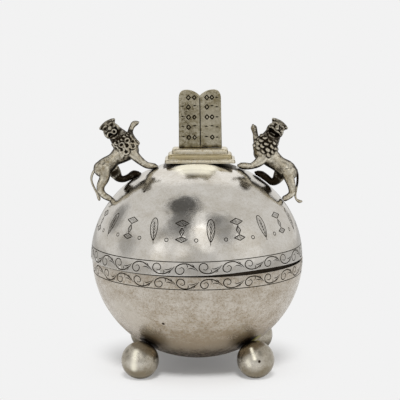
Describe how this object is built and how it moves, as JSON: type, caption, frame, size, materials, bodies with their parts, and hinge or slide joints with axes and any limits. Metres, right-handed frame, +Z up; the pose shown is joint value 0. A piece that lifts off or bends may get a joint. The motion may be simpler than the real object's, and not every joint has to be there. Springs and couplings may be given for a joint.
{
  "type": "etrog box",
  "caption": "Ball-shaped hinged silver box on ball feet, its domed lid carrying the tablets of the law on a stepped plinth between rampant lions.",
  "frame": {"origin": "on the surface the box stands on, under the middle of its overall length, width and depth", "axes": "+Z up through the middle of the box, +X to the right of a person who faces the front, +Y to the back where the hinge is"},
  "size_m": [0.1109, 0.1144, 0.1457],
  "materials": {
    "raised_silver": "hand-raised and engraved silver sheet, worn bright with a thin warm tarnish",
    "collar_silver": "silver strip, dull and tarnished inside the joint",
    "foot_silver": "hollow silver balls, polished, with small dents",
    "hinge_silver": "silver plate and wire, filed and softly polished",
    "plinth_silver": "cast silver plates, worn along the edges",
    "cast_silver": "cast silver, chased, dark tarnish in the hollows"
  },
  "bodies": {
    "box_base": {"bowl": "raised_silver", "bowl_collar": "collar_silver", "foot_front_left": "foot_silver", "foot_front_right": "foot_silver", "foot_back_left": "foot_silver", "foot_back_right": "foot_silver", "hinge_bowl_leaf": "hinge_silver", "hinge_pin": "hinge_silver"},
    "box_lid": {"lid": "raised_silver", "hinge_lid_leaf": "hinge_silver", "plinth_lower_step": "plinth_silver", "plinth_middle_step": "plinth_silver", "plinth_upper_step": "plinth_silver", "tablets": "cast_silver", "lion_left": "cast_silver", "lion_right": "cast_silver", "lion_left_tail": "cast_silver", "lion_right_tail": "cast_silver"}
  },
  "joints": [
    {"name": "lid_hinge", "type": "hinge", "parent": "box_base", "child": "box_lid", "pos_m": [0, 0.05515, 0.0582], "axis": [-1, 0, 0], "range_deg": [0, 100]}
  ]
}
